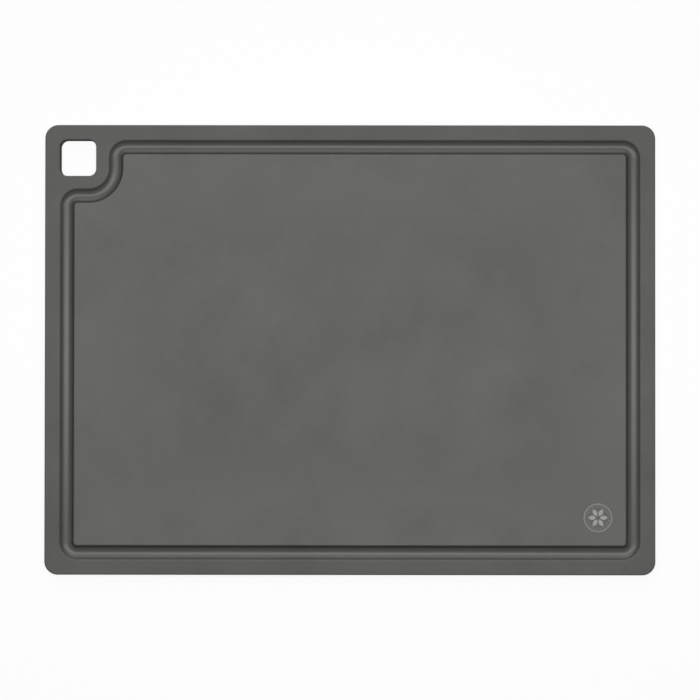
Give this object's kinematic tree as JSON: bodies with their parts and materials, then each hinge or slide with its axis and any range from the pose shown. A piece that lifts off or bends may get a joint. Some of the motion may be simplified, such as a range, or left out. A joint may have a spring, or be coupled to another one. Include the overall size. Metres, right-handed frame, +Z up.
{
  "type": "composite cutting board",
  "caption": "Thin rectangular fibre-composite cutting board with a juice groove round its face that steps in past a square hanging hole.",
  "frame": {"origin": "centre of the underside, on the surface that the board lies on", "axes": "+X along the board's length, towards the end without the hanging hole; +Y along its width, towards the edge with the hanging hole; +Z up out of the cutting face"},
  "size_m": [0.38, 0.28, 0.0065],
  "materials": {
    "core": "resin-soaked paper laminate, through-coloured dark warm grey, milled matt",
    "cutting_face": "resin-soaked paper laminate, through-coloured dark warm grey, fine matt sanded face",
    "rim_face": "resin-soaked paper laminate, through-coloured dark warm grey, fine matt sanded face with polished edge"
  },
  "bodies": {
    "root": {"back_sheet": "core", "lower_core_sheet": "core", "upper_core_sheet": "core", "cutting_field_sheet": "cutting_face", "rim_sheet": "rim_face"}
  },
  "joints": []
}
